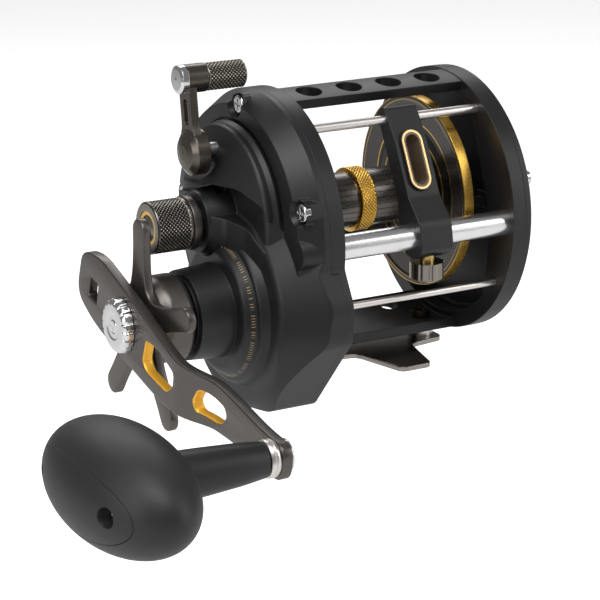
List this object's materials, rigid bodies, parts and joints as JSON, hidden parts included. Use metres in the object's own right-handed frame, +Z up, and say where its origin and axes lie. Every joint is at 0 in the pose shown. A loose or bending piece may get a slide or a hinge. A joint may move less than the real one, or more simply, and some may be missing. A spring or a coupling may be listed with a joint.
{
  "type": "trolling reel",
  "caption": "Level-wind star-drag trolling reel with black frame and side plates, cut-out power handle, egg-shaped grip knob, thumb lever clutch and gold-trimmed spool.",
  "frame": {"origin": "middle of the foot's underside, the face that lies on the rod's reel seat", "axes": "+X along the spool axis towards the tail side (the handle is on -X); -Y towards the rod tip, where the line leaves; +Z up, away from the rod"},
  "size_m": [0.1905, 0.1716, 0.1098],
  "materials": {
    "black_frame": "satin black anodised",
    "gunmetal": "satin gunmetal anodised",
    "spool_finish": "satin dark grey anodised",
    "gold_trim": "knurled gold anodised",
    "bronze_trim": "knurled bronze",
    "chrome_part": "polished chrome",
    "stainless": "polished stainless steel",
    "bright_stainless": "bright stamped stainless steel",
    "nickel": "satin nickel",
    "gear_brass": "machined brass",
    "gear_steel": "machined steel",
    "carbon_washer": "woven carbon drag washer",
    "spring_steel": "ground spring steel",
    "bearing_steel": "ground steel",
    "black_plastic": "fine-textured black",
    "soft_grip": "soft matt dark grey",
    "seal_rubber": "matt black",
    "ceramic_gold": "polished gold-coloured insert"
  },
  "bodies": {
    "frame": {"frame": "black_frame", "drive_side_cover": "black_frame", "tail_side_cover": "black_frame", "cover_screws": "chrome_part", "tail_cover_screws": "chrome_part", "reel_foot": "bright_stainless", "foot_spacers": "stainless", "foot_screws": "bronze_trim", "guide_rail": "stainless", "lower_pillar": "stainless", "worm_tube": "chrome_part", "gear_bridge": "gear_steel", "yoke_posts": "gear_steel", "yoke_springs": "spring_steel", "worm_bushes": "black_plastic", "inner_handle_bearing": "bearing_steel", "hub_roller_bearing": "bearing_steel", "hub_seal": "seal_rubber", "drive_spool_bearing": "bearing_steel", "tail_spool_bearing": "bearing_steel", "dog_pivot": "gear_steel"},
    "crank": {"handle_shaft": "gear_steel", "main_gear": "gear_brass", "level_wind_drive_gear": "black_plastic", "anti_reverse_ratchet": "gear_steel", "drag_washers": "carbon_washer", "drag_plates": "gear_steel", "handle_arm": "gunmetal", "handle_nut": "chrome_part", "knob_spindle": "stainless", "knob_ferrule": "stainless", "spindle_rivet": "chrome_part"},
    "drag_stack": {"drag_sleeve": "gear_steel", "drag_pressure_cup": "gear_steel", "drag_spring_washers": "spring_steel"},
    "star": {"star_drag": "gunmetal"},
    "knob": {"knob_grip": "soft_grip", "knob_end_cap": "soft_grip", "knob_cap_screws": "chrome_part", "knob_stem": "black_plastic"},
    "lever": {"clutch_lever": "gunmetal", "lever_thumb_bar": "bronze_trim", "lever_thumb_screw": "chrome_part", "clutch_cam_shaft": "gear_steel"},
    "yoke": {"clutch_yoke": "black_plastic"},
    "pinion": {"pinion": "gear_brass"},
    "spool": {"spool": "spool_finish", "arbor_band": "gold_trim", "spool_shaft": "stainless", "click_gear": "black_plastic"},
    "idler": {"idler_gear": "black_plastic"},
    "worm": {"worm_shaft": "gear_steel", "worm_gear": "black_plastic"},
    "line_guide": {"line_guide": "black_plastic", "guide_eye_ring": "ceramic_gold", "guide_pawl": "gear_brass", "pawl_cap": "nickel"},
    "cast_control": {"cast_control_cap": "gunmetal"},
    "clicker": {"clicker_slide": "black_plastic"},
    "dog": {"anti_reverse_dog": "gear_steel"}
  },
  "joints": [
    {"name": "crank_turn", "type": "hinge", "parent": "frame", "child": "crank", "pos_m": [-0.084, -0.00655, 0.02373], "axis": [1, 0, 0], "continuous": true},
    {"name": "drag_stack_slide", "type": "slide", "parent": "crank", "child": "drag_stack", "axis": [1, 0, 0], "range_m": [-0.0006, 0]},
    {"name": "star_turn", "type": "hinge", "parent": "drag_stack", "child": "star", "pos_m": [-0.084, -0.00655, 0.02373], "axis": [1, 0, 0], "range_deg": [-270, 0]},
    {"name": "knob_spin", "type": "hinge", "parent": "crank", "child": "knob", "pos_m": [-0.114, -0.0932, 0.0076], "axis": [1, 0, 0], "continuous": true},
    {"name": "lever_throw", "type": "hinge", "parent": "frame", "child": "lever", "pos_m": [-0.064, 0.0003, 0.0735], "axis": [-1, 0, 0], "range_deg": [0, 28]},
    {"name": "yoke_slide", "type": "slide", "parent": "frame", "child": "yoke", "axis": [-1, 0, 0], "range_m": [0, 0.0025]},
    {"name": "pinion_spin", "type": "hinge", "parent": "yoke", "child": "pinion", "pos_m": [-0.05, 0.0009, 0.051], "axis": [1, 0, 0], "continuous": true},
    {"name": "spool_spin", "type": "hinge", "parent": "frame", "child": "spool", "pos_m": [-0.004, 0.0009, 0.051], "axis": [1, 0, 0], "continuous": true},
    {"name": "idler_spin", "type": "hinge", "parent": "frame", "child": "idler", "pos_m": [-0.045, -0.02681, 0.0366], "axis": [1, 0, 0], "continuous": true},
    {"name": "worm_spin", "type": "hinge", "parent": "frame", "child": "worm", "pos_m": [-0.004, -0.0374, 0.0475], "axis": [1, 0, 0], "continuous": true},
    {"name": "guide_traverse", "type": "slide", "parent": "frame", "child": "line_guide", "axis": [1, 0, 0], "range_m": [-0.022, 0.0124]},
    {"name": "cast_control_turn", "type": "hinge", "parent": "frame", "child": "cast_control", "pos_m": [-0.074, 0.0009, 0.051], "axis": [1, 0, 0], "range_deg": [-180, 180]},
    {"name": "clicker_push", "type": "slide", "parent": "frame", "child": "clicker", "axis": [0, 1, 0], "range_m": [0, 0.0032]},
    {"name": "dog_swing", "type": "hinge", "parent": "frame", "child": "dog", "pos_m": [-0.048, 0.0131, 0.0145], "axis": [1, 0, 0], "range_deg": [-8, 0]}
  ],
  "couplings": [
    {"joint": "drag_stack_slide", "follows": "star_turn", "m_per_rad": 0.00012732},
    {"joint": "yoke_slide", "follows": "lever_throw", "m_per_rad": 0.00511},
    {"joint": "pinion_spin", "follows": "crank_turn", "ratio": -4.3},
    {"joint": "spool_spin", "follows": "crank_turn", "ratio": -4.3},
    {"joint": "idler_spin", "follows": "crank_turn", "ratio": -1},
    {"joint": "worm_spin", "follows": "crank_turn", "ratio": 3.75}
  ]
}
